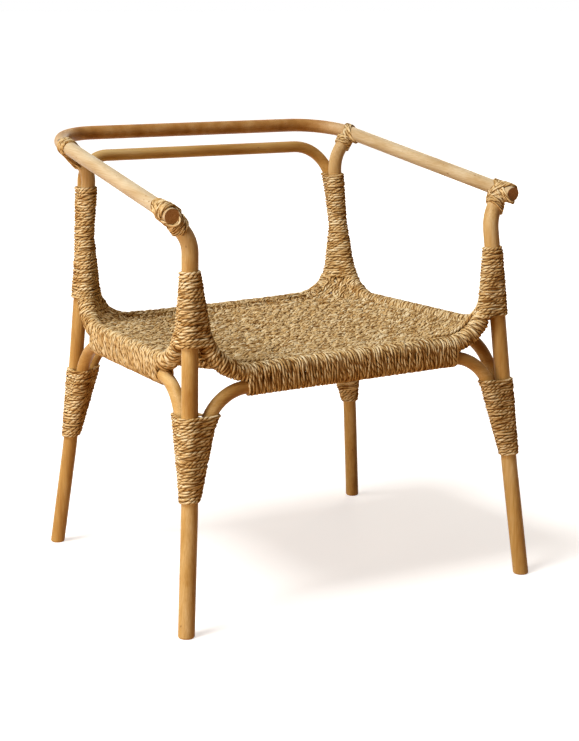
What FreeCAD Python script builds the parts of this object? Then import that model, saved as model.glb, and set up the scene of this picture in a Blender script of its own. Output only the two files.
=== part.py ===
"""Low armchair of bent rattan poles, bound and seated with twisted seagrass cord.

Millimetres, +Z up, the front faces -Y, and the origin is on the floor under the middle of the chair.
"""
import FreeCAD, Part
import math
import os

from FreeCAD import Placement, Rotation, Vector

doc = FreeCAD.newDocument("RattanArmchair")

# Driving dimensions
DIMENSIONS = (
    ("front_post_diameter", 28.0, "front posts"),
    ("rear_post_diameter", 26.0, "rear posts"),
    ("hoop_diameter", 26.0, "arm hoop"),
    ("rail_diameter", 23.0, "seat rails"),
    ("brace_diameter", 23.0, "arched braces under the seat rails"),
    ("back_rail_diameter", 22.0, "pole below the back of the hoop"),
    ("stretcher_diameter", 22.0, "pole under the seat"),
    ("foot_rounding", 3.0, "rounded rim of each foot"),
    ("lying_clearance", 0.3, "between poles that lie side by side"),
    ("knee_height", 205.0, "slight bend of each post above the foot"),
    ("knee_radius", 600.0, "centre line of that bend"),
    ("front_foot_x", 340.7, "half the spread of the front feet"),
    ("front_foot_y", -323.46, "front feet from the middle"),
    ("front_knee_x", 322.7, "front posts at the knee"),
    ("front_knee_y", -300.3, "front posts at the knee"),
    ("front_shoulder_x", 297.0, "front posts where they bend out to the hoop"),
    ("front_shoulder_y", -252.5, "front posts where they bend out to the hoop"),
    ("front_shoulder_drop", 48.8, "that bend of the front posts below the hoop at their joint"),
    ("rear_foot_x", 331.2, "half the spread of the rear feet"),
    ("rear_foot_y", 245.6, "rear feet from the middle"),
    ("rear_knee_x", 308.9, "rear posts at the knee"),
    ("rear_knee_y", 225.9, "rear posts at the knee"),
    ("rear_shoulder_x", 263.5, "rear posts where they bend out to the hoop"),
    ("rear_shoulder_y", 227.0, "rear posts where they bend out to the hoop"),
    ("rear_shoulder_drop", 50.6, "that bend of the rear posts below the hoop at their joint"),
    ("shoulder_radius", 55.0, "centre line of the bend below the hoop"),
    ("arm_end_x", 335.2, "front ends of the hoop"),
    ("arm_end_y", -265.5, "front ends of the hoop"),
    ("arm_end_height", 687.0, "front ends of the hoop"),
    ("arm_overhang", 28.0, "hoop past the front posts"),
    ("hoop_corner_x", 303.3, "where arm and back lines of the hoop would meet"),
    ("hoop_back_y", 324.2, "centre line of the hoop's back"),
    ("hoop_back_height", 767.3, "centre line of the hoop's back"),
    ("hoop_corner_radius", 94.0, "centre line of the hoop's corners"),
    ("rear_joint_setback", 86.0, "rear posts in front of the hoop's back"),
    ("joint_inset", 10.0, "post tops against the inner side of the hoop"),
    ("joint_drop", 6.0, "post tops below the hoop's centre line"),
    ("front_rail_height", 425.5, "centre line of the front seat rail"),
    ("rear_rail_height", 424.0, "centre line of the rear seat rail"),
    ("side_rail_front_rise", 11.5, "front end of the side seat rails above the front one"),
    ("side_rail_rear_rise", 4.0, "rear end of the side seat rails above the rear one"),
    ("seat_tilt", 10.0, "right side of the seat above its left side"),
    ("front_rail_bend_radius", 92.0, "front seat rail bending up beside the posts"),
    ("rear_rail_bend_radius", 76.0, "rear seat rail bending up beside the posts"),
    ("side_rail_bend_radius", 88.0, "side seat rails bending up beside the posts"),
    ("brace_bend_radius", 86.0, "braces bending down beside the posts"),
    ("brace_standoff", 8.0, "braces away from the posts at the top of their binding"),
    ("tip_offset", 4.0, "shaved end of a rail or brace from the post's axis"),
    ("front_leg_wrap_drop", 40.2, "binding of brace ends on the front posts below the brace"),
    ("front_leg_wrap_share", 0.089, "its lower end, from the knee up to its upper end"),
    ("front_post_wrap_rise", 44.5, "binding of rail ends on the front posts above the rail"),
    ("front_post_wrap_share", 0.738, "its upper end, from its lower end up to the shoulder"),
    ("rear_leg_wrap_drop", 57.7, "binding of brace ends on the rear posts below the brace"),
    ("rear_leg_wrap_share", 0.0145, "its lower end, from the knee up to its upper end"),
    ("rear_post_wrap_rise", 47.0, "binding of rail ends on the rear posts above the rail"),
    ("rear_post_wrap_share", 0.449, "its upper end, from its lower end up to the shoulder"),
    ("back_rail_wrap_share", 0.889, "upper end of the back rail's binding, measured in the same way"),
    ("tip_inside_wrap", 14.0, "shaved ends short of the end of their binding"),
    ("back_rail_drop", 36.3, "lower back rail below the back of the hoop"),
    ("back_rail_left_bend_radius", 50.0, "lower back rail bending down behind the left post"),
    ("back_rail_right_bend_radius", 80.0, "lower back rail bending down behind the right post"),
    ("back_rail_root_rise", 11.0, "where the back rail's ends start to near the posts, above their binding"),
    ("back_rail_tip_drop", 61.0, "lower ends of the back rail below the upper end of their binding"),
    ("back_rail_tip_offset", 14.0, "lower ends of the back rail from the posts' axes"),
    ("stretcher_y", -26.0, "stretcher from the middle of the chair"),
    ("cord_diameter", 4.6, "twisted seagrass cord"),
    ("cord_clearance", 0.5, "between the cord's turns and the poles they bind"),
    ("turn_gap", 0.6, "least gap between neighbouring turns"),
    ("band_past_bend", 16.0, "woven cover along a rail past the start of its bends"),
    ("band_clearance", 0.3, "between that cover and the poles in it"),
    ("seat_thickness", 9.0, "woven seat panel"),
    ("seat_rise", 9.0, "top of the seat panel above the rails' centre lines"),
    ("seat_sag", 10.0, "middle of the seat panel below its sides"),
    ("seat_edge_sag", 3.0, "front and rear edge of the seat panel below its corners"),
    ("seat_clearance", 1.2, "between the seat panel and the covered rails"),
    ("lashing_arm_turns", 2.0, "turns of cord round the hoop on the arm's side of a post"),
    ("lashing_end_turns", 1.0, "turns of cord round the hoop on the other side of a post"),
    ("lashing_half_gap", 18.5, "first of those turns from the post's middle"),
    ("collar_turns", 3.0, "turns of cord round a post under the hoop"),
    ("collar_drop", 15.5, "first of those turns below the post's upper end"),
    ("nail_diameter", 2.5, "nails at the shaved ends"),
    ("nail_head_diameter", 4.5, "nails at the shaved ends"),
    ("nail_length", 32.0, "nails at the shaved ends"),
    ("nail_spread", 18.0, "height between the two nails through one post"),
    ("screw_diameter", 4.0, "screws through the hoop and into the stretcher"),
    ("screw_head_diameter", 7.0, "screws through the hoop and into the stretcher"),
    ("screw_length", 50.0, "screws through the hoop and into the stretcher"),
    ("head_thickness", 1.2, "heads of nails and screws"),
    ("head_recess", 0.4, "heads of nails and screws below the pole's surface"),
    ("point_length", 5.0, "points of nails and screws"),
)

sheet = doc.addObject("Spreadsheet::Sheet", "Sizes")
for row, (alias, value, note) in enumerate(DIMENSIONS, start=1):
    sheet.set(f"A{row}", alias)
    sheet.set(f"B{row}", str(value))
    sheet.set(f"C{row}", note)
    sheet.setAlias(f"B{row}", alias)
doc.recompute()


def size(alias):
    """Value of one driving dimension."""
    return float(sheet.get(alias))


SIDES = (("left", -1.0), ("right", 1.0))
ENDS = ("front", "rear")
ACROSS = Vector(1, 0, 0)
BACKWARD = Vector(0, 1, 0)
UP = Vector(0, 0, 1)
INTO_SEAT = {"front": BACKWARD, "rear": BACKWARD * -1.0}
POST_RADIUS = {end: size(end + "_post_diameter") / 2 for end in ENDS}
POLE_RADIUS = {
    "rail": size("rail_diameter") / 2,
    "brace": size("brace_diameter") / 2,
    "back_rail": size("back_rail_diameter") / 2,
}
cord_diameter = size("cord_diameter")
cord_radius = cord_diameter / 2
nodes = {}


# Poles: straight runs joined by tangent arcs
class Bend:
    """Arc that rounds one corner of a path."""

    def __init__(self, before, corner, after, radius):
        self.radius = radius
        self.inward = (before - corner).normalize()
        self.outward = (after - corner).normalize()
        half_angle = self.inward.getAngle(self.outward) / 2
        self.turn = math.pi - 2 * half_angle
        self.start = corner + self.inward * (radius / math.tan(half_angle))
        self.centre = corner + (self.inward + self.outward).normalize() * (radius / math.sin(half_angle))
        self.first_spoke = (self.start - self.centre).normalize()

    def spoke(self, angle):
        """Direction from the arc's centre at an angle from its start."""
        return self.first_spoke * math.cos(angle) - self.inward * math.sin(angle)

    def heading(self, angle):
        """Direction along the arc at an angle from its start."""
        return self.first_spoke * -math.sin(angle) - self.inward * math.cos(angle)

    def point(self, angle):
        """Point of the arc, or past its end of the straight run that follows."""
        past = max(0.0, angle - self.turn) * self.radius
        return self.centre + self.spoke(min(angle, self.turn)) * self.radius + self.outward * past

    def at_height(self, height):
        """Point of the arc, or of the straight run that follows, at a height."""
        rising = self.outward.z > 0
        angle = halve(0.0, 4 * math.pi, lambda angle: (self.point(angle).z < height) == rising)
        return self.point(angle)


def halve(low, high, holds):
    """Largest value in a range for which a condition still holds, found by halving."""
    for _ in range(50):
        middle = (low + high) / 2
        if holds(middle):
            low = middle
        else:
            high = middle
    return low


def bends_of(path, radii):
    """Bends at the inner points of a path."""
    return [Bend(*corner, radius) for *corner, radius in zip(path, path[1:], path[2:], radii)]


def bent_wire(path, radii):
    """Wire along a path, with the corner at each inner point rounded."""
    edges = []
    here = path[0]
    for bend in bends_of(path, radii):
        edges.append(Part.LineSegment(here, bend.start).toShape())
        here = bend.point(bend.turn)
        edges.append(Part.Arc(bend.start, bend.point(bend.turn / 2), here).toShape())
    edges.append(Part.LineSegment(here, path[-1]).toShape())
    return Part.Wire(edges)


def add_pole(name, path, radii, diameter_alias):
    """Round pole swept along a bent path."""
    line = doc.addObject("Part::Feature", name + "_line")
    line.Shape = bent_wire(path, radii)
    ring = doc.addObject("Part::Circle", name + "_ring")
    ring.setExpression("Radius", f"Sizes.{diameter_alias} / 2")
    ring.Placement = Placement(path[0], Rotation(UP, path[1] - path[0]))
    pole = doc.addObject("Part::Sweep", name + "_pole")
    pole.Sections = [ring]
    pole.Spine = (line, [f"Edge{index + 1}" for index in range(len(line.Shape.Edges))])
    pole.Solid = True
    return pole


def add_cut(name, base, *tools):
    """Base less the tools, which don't touch one another."""
    tool = tools[0]
    if len(tools) > 1:
        tool = doc.addObject("Part::Compound", name + "_tools")
        tool.Links = list(tools)
    cut = doc.addObject("Part::Cut", name)
    cut.Base = base
    cut.Tool = tool
    return cut


def add_shape(name, shape):
    """Object whose shape is worked out here."""
    feature = doc.addObject("Part::Feature", name + "_shape")
    feature.Shape = shape
    return feature


def add_node(name, node):
    """Label a finished piece, which names its file."""
    node.Label = name
    nodes[name] = node


# Centre lines of the hoop and of the posts
def hoop_point(side, y):
    """Point of the straight arm of the hoop."""
    front = Vector(side * size("arm_end_x"), size("arm_end_y"), size("arm_end_height"))
    corner = Vector(side * size("hoop_corner_x"), size("hoop_back_y"), size("hoop_back_height"))
    return front + (corner - front) * ((y - front.y) / (corner.y - front.y))


JOINT_Y = {
    "front": size("arm_end_y") + size("arm_overhang"),
    "rear": size("hoop_back_y") - size("rear_joint_setback"),
}
SHOULDER_HEIGHT = {end: hoop_point(1.0, JOINT_Y[end]).z - size(end + "_shoulder_drop") for end in ENDS}


def post_points(end, side):
    """Foot, knee and shoulder of a post."""
    foot = Vector(side * size(end + "_foot_x"), size(end + "_foot_y"), 0)
    knee = Vector(side * size(end + "_knee_x"), size(end + "_knee_y"), size("knee_height"))
    shoulder = Vector(side * size(end + "_shoulder_x"), size(end + "_shoulder_y"), SHOULDER_HEIGHT[end])
    return foot, knee, shoulder


def post_axis(end, side, height):
    """Point of the straight stretch of a post at a height."""
    _, knee, shoulder = post_points(end, side)
    return knee + (shoulder - knee) * ((height - knee.z) / (shoulder.z - knee.z))


def post_top(end, side):
    """Upper end of a post's centre line, against the inner side of the hoop."""
    inset = Vector(side * size("joint_inset"), 0, size("joint_drop"))
    return hoop_point(side, JOINT_Y[end]) - inset


# Arm hoop: both arms and the back are one bent pole
hoop_path = [hoop_point(side, y) for side, y in (
    (-1.0, size("arm_end_y")),
    (-1.0, size("hoop_back_y")),
    (1.0, size("hoop_back_y")),
    (1.0, size("arm_end_y")),
)]
hoop = add_pole("arm_hoop", hoop_path, [size("hoop_corner_radius")] * 2, "hoop_diameter")


def hoop_at(side, distance):
    """Point of the hoop's centre line at a distance from the front end of an arm."""
    front, corner, other_corner, _ = hoop_path if side < 0 else hoop_path[::-1]
    bend = Bend(front, corner, other_corner, size("hoop_corner_radius"))
    past = distance - front.distanceToPoint(bend.start)
    if past > 0:
        return bend.point(past / bend.radius)
    return bend.start + bend.inward * -past


# Posts: swept past the floor, to be cut level there
FLOOR_DEPTH = 2 * size("front_post_diameter")
FLOOR_SPAN = 4 * size("front_foot_x")
floor = add_shape("floor", Part.makeBox(
    FLOOR_SPAN, FLOOR_SPAN, FLOOR_DEPTH, Vector(-FLOOR_SPAN / 2, -FLOOR_SPAN / 2, -FLOOR_DEPTH)))

posts = {}
for end in ENDS:
    for side_name, side in SIDES:
        foot, knee, shoulder = post_points(end, side)
        below = foot - (knee - foot) * (FLOOR_DEPTH / 2 / knee.z)
        path = [below, knee, shoulder, post_top(end, side)]
        radii = [size("knee_radius"), size("shoulder_radius")]
        posts[end, side] = add_pole(f"post_{end}_{side_name}", path, radii, end + "_post_diameter")

# Heights of the bindings on the posts
STACK_DISTANCE = POLE_RADIUS["rail"] + POLE_RADIUS["brace"] + size("lying_clearance")
LEG_WRAP = {}
POST_WRAP = {}


def up_post(end, bottom, share):
    """Height that is a share of the way from a binding's lower end to the shoulder of a post."""
    return bottom + (SHOULDER_HEIGHT[end] - bottom) * size(share)


for end in ENDS:
    knee_height = size("knee_height")
    rail_height = size(end + "_rail_height")
    leg_top = rail_height - STACK_DISTANCE - size(end + "_leg_wrap_drop")
    LEG_WRAP[end] = (knee_height + (leg_top - knee_height) * size(end + "_leg_wrap_share"), leg_top)
    post_bottom = rail_height + size(end + "_post_wrap_rise")
    POST_WRAP[end] = (post_bottom, up_post(end, post_bottom, end + "_post_wrap_share"))
BACK_WRAP = (
    POST_WRAP["rear"][1] + size("turn_gap"),
    up_post("rear", POST_WRAP["rear"][0], "back_rail_wrap_share"),
)

# Rails and braces: their ends run beside the posts and are shaved to lie against them
TIP = {
    ("rail", "front"): (POST_WRAP["front"][1] - size("tip_inside_wrap"), size("tip_offset")),
    ("rail", "rear"): (POST_WRAP["rear"][1], size("tip_offset")),
    ("brace", "front"): (LEG_WRAP["front"][0] + size("tip_inside_wrap"), size("tip_offset")),
    ("brace", "rear"): (LEG_WRAP["rear"][0] + size("tip_inside_wrap"), size("tip_offset")),
    ("back_rail", "rear"): (BACK_WRAP[1] - size("back_rail_tip_drop"), size("back_rail_tip_offset")),
}
ROOT_HEIGHT = {
    ("rail", "front"): POST_WRAP["front"][0],
    ("rail", "rear"): POST_WRAP["rear"][0],
    ("brace", "front"): LEG_WRAP["front"][1],
    ("brace", "rear"): LEG_WRAP["rear"][1],
    ("back_rail", "rear"): BACK_WRAP[1] + size("back_rail_root_rise"),
}
STANDOFF = {"rail": 0.0, "brace": size("brace_standoff"), "back_rail": 0.0}
DROP = {"rail": 0.0, "brace": STACK_DISTANCE}


def lying_point(kind, end, side, direction, height):
    """Centre line of a pole's end, which nears the post towards its tip."""
    tip_height, tip_offset = TIP[kind, end]
    root_height = ROOT_HEIGHT[kind, end]
    root_offset = POST_RADIUS[end] + POLE_RADIUS[kind] + size("lying_clearance") + STANDOFF[kind]
    share = (height - tip_height) / (root_height - tip_height)
    return post_axis(end, side, height) + direction * (tip_offset + (root_offset - tip_offset) * share)


def tilted(height, side):
    """Height of the seat frame at one side of the chair."""
    return height + side * size("seat_tilt") / 2


def cross_path(kind, end):
    """Bent pole from the left post to the right one."""
    path = []
    for side, order in ((-1.0, 1), (1.0, -1)):
        levels = [TIP[kind, end][0], tilted(size(end + "_rail_height"), side) - DROP[kind]][::order]
        path += [lying_point(kind, end, side, ACROSS * -side, level) for level in levels]
    return path


def side_path(kind, side):
    """Bent pole from the front post to the rear one."""
    path = []
    for end, order in (("front", 1), ("rear", -1)):
        rail_height = size(end + "_rail_height") + size(f"side_rail_{end}_rise")
        height = tilted(rail_height, side) - DROP[kind]
        levels = [TIP[kind, end][0], height][::order]
        path += [lying_point(kind, end, side, INTO_SEAT[end], level) for level in levels]
    return path


paths = {}
for kind in DROP:
    for end in ENDS:
        paths[kind, end] = cross_path(kind, end)
    for side_name, side in SIDES:
        paths[kind, side_name] = side_path(kind, side)
paths["back_rail", "rear"] = []
for side, order in ((-1.0, 1), (1.0, -1)):
    levels = [TIP["back_rail", "rear"][0], size("hoop_back_height") - size("back_rail_drop")][::order]
    paths["back_rail", "rear"] += [lying_point("back_rail", "rear", side, BACKWARD, level) for level in levels]
BEND_RADII = {("brace", place): [size("brace_bend_radius")] * 2 for place in ("front", "rear", "left", "right")}
BEND_RADII |= {("rail", end): [size(end + "_rail_bend_radius")] * 2 for end in ENDS}
BEND_RADII |= {("rail", side_name): [size("side_rail_bend_radius")] * 2 for side_name, _ in SIDES}
BEND_RADII["back_rail", "rear"] = [size(f"back_rail_{side_name}_bend_radius") for side_name, _ in SIDES]
NODE_NAME = {("rail", place): f"seat_rail_{place}" for place in ("front", "rear", "left", "right")}
NODE_NAME |= {("brace", place): f"brace_{place}" for place in ("front", "rear", "left", "right")}
NODE_NAME["back_rail", "rear"] = "lower_back_rail"
poles = {}
bends = {}
for key, path in paths.items():
    poles[key] = add_pole(NODE_NAME[key], path, BEND_RADII[key], key[0] + "_diameter")
    first_radius, last_radius = BEND_RADII[key]
    bends[key] = (Bend(path[2], path[1], path[0], first_radius), Bend(path[1], path[2], path[3], last_radius))


# Stretcher: straight between the side braces
def line_point(path, y):
    """Point of the straight middle of a side pole."""
    _, front, rear, _ = path
    return front + (rear - front) * ((y - front.y) / (rear.y - front.y))


stretcher_path = [line_point(paths["brace", side_name], size("stretcher_y")) for side_name, _ in SIDES]
stretcher = add_pole("seat_stretcher", stretcher_path, [], "stretcher_diameter")


# Nails and screws, hidden by the cord
def fastener(surface_point, direction, kind, lead):
    """Nail or screw in a pole, or its bore when the head's end leads out of the pole."""
    shank = size(kind + "_diameter") / 2
    head = size(kind + "_head_diameter") / 2
    length = size(kind + "_length")
    neck = size("head_thickness")
    profile = ((0, -lead), (head, -lead), (head, neck), (shank, neck), (shank, length - size("point_length")))
    outline = [Vector(across, 0, along) for across, along in (*profile, (0, length), profile[0])]
    solid = Part.Face(Part.makePolygon(outline)).revolve(Vector(0, 0, 0), UP, 360)
    solid.Placement = Placement(surface_point + direction * size("head_recess"), Rotation(UP, direction))
    return solid


def add_fasteners(name, kind, places):
    """Group of like fasteners; gives back their bores."""
    lead_out = size("head_thickness") + size("head_recess")
    add_node(name, add_shape(name, Part.makeCompound([fastener(*place, kind, 0.0) for place in places])))
    return add_shape(name + "_bores", Part.makeCompound([fastener(*place, kind, lead_out) for place in places]))


def lying_nail(kind, end, side, direction, height):
    """Nail through a shaved end into its post."""
    centre = lying_point(kind, end, side, direction, height)
    return centre + direction * POLE_RADIUS[kind], direction * -1.0


def shaved_end_nails(kind):
    """Nails of all rails or of all braces, two in each post."""
    places = []
    half_spread = size("nail_spread") / 2
    for end in ENDS:
        middle = (TIP[kind, end][0] + ROOT_HEIGHT[kind, end]) / 2
        for _, side in SIDES:
            places.append(lying_nail(kind, end, side, ACROSS * -side, middle + half_spread))
            places.append(lying_nail(kind, end, side, INTO_SEAT[end], middle - half_spread))
    return places


def hoop_screw(end, side):
    """Screw through the hoop into the upper end of a post."""
    _, _, shoulder = post_points(end, side)
    middle = hoop_point(side, JOINT_Y[end])
    direction = ((shoulder + post_top(end, side)) * 0.5 - middle).normalize()
    return middle - direction * (size("hoop_diameter") / 2), direction


back_nail_height = (TIP["back_rail", "rear"][0] + ROOT_HEIGHT["back_rail", "rear"]) / 2
rail_bores = add_fasteners("seat_rail_nails", "nail", shaved_end_nails("rail"))
brace_bores = add_fasteners("brace_nails", "nail", shaved_end_nails("brace"))
back_rail_bores = add_fasteners("back_rail_nails", "nail", [
    lying_nail("back_rail", "rear", side, BACKWARD, back_nail_height) for _, side in SIDES])
hoop_bores = add_fasteners("arm_hoop_screws", "screw", [hoop_screw(end, side) for end in ENDS for _, side in SIDES])
stretcher_bores = add_fasteners("stretcher_screws", "screw", [
    (point + ACROSS * (side * POLE_RADIUS["brace"]), ACROSS * -side)
    for (_, side), point in zip(SIDES, stretcher_path)])

# Finished poles, fitted to one another and bored for the fasteners
add_node("arm_hoop", add_cut("arm_hoop", hoop, hoop_bores))
for end in ENDS:
    for side_name, side in SIDES:
        name = f"post_{end}_{side_name}"
        level = add_cut(name + "_level", posts[end, side], floor)
        doc.recompute()
        rims = [index for index, edge in enumerate(level.Shape.Edges, start=1) if edge.BoundBox.ZMax < 1e-6]
        rounded = doc.addObject("Part::Fillet", name + "_rounded")
        rounded.Base = level
        rounded.Edges = [(index, size("foot_rounding"), size("foot_rounding")) for index in rims]
        fitted = add_cut(name + "_fitted", rounded, hoop)
        add_node(name, add_cut(name, fitted, hoop_bores, rail_bores, brace_bores, back_rail_bores))
for kind, bores in (("rail", rail_bores), ("brace", brace_bores)):
    for end in ENDS:
        name = NODE_NAME[kind, end]
        fitted = add_cut(name + "_fitted", poles[kind, end], posts[end, -1.0], posts[end, 1.0])
        add_node(name, add_cut(name, fitted, bores))
    for side_name, side in SIDES:
        name = NODE_NAME[kind, side_name]
        shaved = add_cut(name + "_shaved", poles[kind, side_name], posts["front", side], posts["rear", side])
        fitted = add_cut(name + "_fitted", shaved, poles[kind, "front"], poles[kind, "rear"])
        side_bores = [bores, stretcher_bores] if kind == "brace" else [bores]
        add_node(name, add_cut(name, fitted, *side_bores))
shaved = add_cut("lower_back_rail_shaved", poles["back_rail", "rear"], posts["rear", -1.0], posts["rear", 1.0])
add_node("lower_back_rail", add_cut("lower_back_rail", shaved, back_rail_bores))
fitted = add_cut("seat_stretcher_fitted", stretcher, poles["brace", "left"], poles["brace", "right"])
add_node("seat_stretcher", add_cut("seat_stretcher", fitted, stretcher_bores))

# Woven covers: strands that run over a rail and under the brace below it
COVER_REACH = POLE_RADIUS["rail"] + size("band_clearance") + cord_diameter


def stadium(start, along, reach, drop):
    """Face round a rail and the brace below it, square to their straight stretch."""
    down = (UP * -1.0 + along * along.z).normalize()
    sideways = down.cross(along)
    low = start + down * drop
    top_left, top_right = start - sideways * reach, start + sideways * reach
    low_left, low_right = low - sideways * reach, low + sideways * reach
    edges = [
        Part.Arc(top_left, start - down * reach, top_right),
        Part.LineSegment(top_right, low_right),
        Part.Arc(low_right, low + down * reach, low_left),
        Part.LineSegment(low_left, top_left),
    ]
    return Part.Face(Part.Wire([edge.toShape() for edge in edges]))


for place in ("front", "rear", "left", "right"):
    first, last = bends["rail", place]
    along = (last.start - first.start).normalize()
    start = first.start - along * size("band_past_bend")
    run = last.start + along * size("band_past_bend") - start
    outer = stadium(start, along, COVER_REACH, STACK_DISTANCE).extrude(run)
    inner = stadium(start, along, COVER_REACH - cord_diameter, STACK_DISTANCE).extrude(run)
    name = f"woven_cover_{place}"
    sleeve = add_cut(name + "_sleeve", add_shape(name + "_outer", outer), add_shape(name + "_inner", inner))
    around_rail = add_cut(name + "_around_rail", sleeve, poles["rail", place], poles["brace", place])
    if place in ("left", "right"):
        around_rail = add_cut(name, around_rail, stretcher)
    add_node(name, around_rail)

# Woven seat: a dished panel between the covered rails
SEAT_INSET = COVER_REACH + size("seat_clearance")


def seat_section(y, left_height, right_height, sag):
    """Cross-section of the panel, with its middle lower than its edges."""
    left = line_point(paths["rail", "left"], y).x + SEAT_INSET
    right = line_point(paths["rail", "right"], y).x - SEAT_INSET
    middle = (left + right) / 2
    middle_height = (left_height + right_height) / 2 - sag
    rise = size("seat_rise")
    upper = [Vector(left, y, left_height + rise), Vector(middle, y, middle_height + rise),
             Vector(right, y, right_height + rise)]
    lower = [point - UP * size("seat_thickness") for point in upper]
    edges = [
        Part.Arc(*upper),
        Part.LineSegment(upper[2], lower[2]),
        Part.Arc(*lower[::-1]),
        Part.LineSegment(lower[0], upper[0]),
    ]
    return Part.Wire([edge.toShape() for edge in edges])


seat_front_y = max(bend.start.y for bend in bends["rail", "front"]) + SEAT_INSET
seat_rear_y = min(bend.start.y for bend in bends["rail", "rear"]) - SEAT_INSET
seat_middle_y = (seat_front_y + seat_rear_y) / 2
side_heights = [line_point(paths["rail", side_name], seat_middle_y).z for side_name, _ in SIDES]
front_heights = [tilted(size("front_rail_height"), side) for _, side in SIDES]
rear_heights = [tilted(size("rear_rail_height"), side) for _, side in SIDES]
seat = Part.makeLoft([
    seat_section(seat_front_y, *front_heights, size("seat_edge_sag")),
    seat_section(seat_middle_y, *side_heights, size("seat_sag")),
    seat_section(seat_rear_y, *rear_heights, size("seat_edge_sag")),
], True)
add_node("seat_weave", add_shape("seat_weave", seat))


# Windings: each is one tube of cord through stations, which are points with a direction
MOST_TURNS = 24
TURN_PITCH = cord_diameter + size("turn_gap")
NUDGE = 1e-3


def tangent_arc(start, corner, finish):
    """Arc that touches the lines from its ends to a corner."""
    middle = (start + finish) * 0.5
    half_chord = start.distanceToPoint(finish) / 2
    rise = corner - middle
    half_turn = math.atan2(rise.Length, half_chord)
    crown = middle + rise.normalize() * (half_chord * math.tan(half_turn / 2))
    return Part.Arc(start, crown, finish).toShape()


def join(station, next_station):
    """Straight line, or two arcs that meet smoothly, between two stations."""
    (start, heading), (finish, next_heading) = station, next_station
    turning = 1 - heading.dot(next_heading)
    if turning < 1e-9:
        return [Part.LineSegment(start, finish).toShape()]
    chord = finish - start
    ahead = chord.dot(heading + next_heading)
    reach = (math.sqrt(ahead ** 2 + 2 * turning * chord.dot(chord)) - ahead) / (2 * turning)
    first_corner = start + heading * reach
    last_corner = finish - next_heading * reach
    meeting = (first_corner + last_corner) * 0.5
    return [tangent_arc(start, first_corner, meeting), tangent_arc(meeting, last_corner, finish)]


def least_gap(spine):
    """Least gap of a tube to itself, measured on points along its middle."""
    points = spine.discretize(Distance=cord_radius / 2)
    cell = 2 * cord_diameter
    along = round(6 * cord_diameter / (cord_radius / 2))
    shelves = {}
    for index, point in enumerate(points):
        shelves.setdefault(tuple(math.floor(value / cell) for value in point), []).append(index)
    nearest = cell
    steps = [(x, y, z) for x in (-1, 0, 1) for y in (-1, 0, 1) for z in (-1, 0, 1)]
    for home, indexes in shelves.items():
        around = [other for step in steps for other in shelves.get(tuple(map(sum, zip(home, step))), ())]
        for index in indexes:
            distances = [points[index].distanceToPoint(points[other]) for other in around if other - index > along]
            nearest = min([nearest, *distances])
    return nearest - cord_diameter


def add_winding(name, stations):
    """One unbroken tube of cord, whose ends run straight for one diameter."""
    (start, heading), (finish, last_heading) = stations[0], stations[-1]
    route = [(start - heading * cord_diameter, heading), *stations,
             (finish + last_heading * cord_diameter, last_heading)]
    spine = Part.Wire([edge for pair in zip(route, route[1:]) for edge in join(*pair)])
    pipe = Part.BRepOffsetAPI.MakePipeShell(spine)
    pipe.add(Part.Wire(Part.Circle(route[0][0], heading, cord_radius).toShape()))
    pipe.build()
    pipe.makeSolid()
    add_node(name, add_shape(name, pipe.shape()))
    share = pipe.shape().Volume / (math.pi * cord_radius ** 2 * spine.Length)
    print(f"{name}: least gap to itself {least_gap(spine):.2f} mm, volume {share:.4f} of section times length")


def turns_in(length):
    """Turns of cord that fit side by side in a length."""
    return max(1, min(MOST_TURNS, math.floor(length / TURN_PITCH)))


def bound_offset(bend, end, side, kind, height):
    """Offset from a post's axis at which a turn of post size clears the pole beside the post."""
    tip_height, _ = TIP[kind, end]
    axis = post_axis(end, side, height)
    offset = bend.at_height(height) - axis
    slant = abs((bend.at_height(height + 1) - bend.at_height(height - 1)).normalize().z)
    margin = size("cord_clearance") + cord_radius
    distance = offset.Length + (POLE_RADIUS[kind] + margin) / slant - (POST_RADIUS[end] + margin)
    past_tip = (height - tip_height) * math.copysign(1, bend.outward.z) - cord_diameter
    fade = min(1.0, max(0.0, 1 - past_tip / size("tip_inside_wrap")))
    return offset.normalize() * max(cord_radius / 2, distance * fade)


def wrap_stations(end, side, kind, bound, bottom, top):
    """Rising turns of cord round a post and the pole ends that it is bound to."""
    radius = POST_RADIUS[end] + size("cord_clearance") + cord_radius
    length = top - bottom - cord_diameter
    turns = turns_in(length)
    pitch = length / turns
    touches = []
    for turn in range(turns):
        height = bottom + cord_radius + pitch * turn
        corners = [Vector(0, 0, 0)]
        for bend in bound:
            offsets = [bound_offset(bend, end, side, kind, level) for level in (height, height + pitch)]
            corners.append(max(offsets, key=lambda offset: offset.Length))
        if len(corners) > 2 and corners[1].cross(corners[2]).z < 0:
            corners[1:] = corners[:0:-1]
        spans = [after - before for before, after in zip(corners, corners[1:] + corners[:1])]
        normals = [Vector(span.y, -span.x, 0).normalize() for span in spans]
        loop_length = 2 * math.pi * radius + sum(span.Length for span in spans)
        run = 0.0
        for index, corner in enumerate(corners):
            arrival, departure = normals[index - 1], normals[index]
            touches.append(post_axis(end, side, height + pitch * run / loop_length) + corner + arrival * radius)
            run += radius * arrival.getAngle(departure)
            touches.append(post_axis(end, side, height + pitch * run / loop_length) + corner + departure * radius)
            run += spans[index].Length
    stations = []
    for leaving, reaching in zip(touches[1::2], touches[2::2]):
        heading = (reaching - leaving).normalize()
        stations += [(leaving, heading), (reaching, heading)]
    return stations


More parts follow.
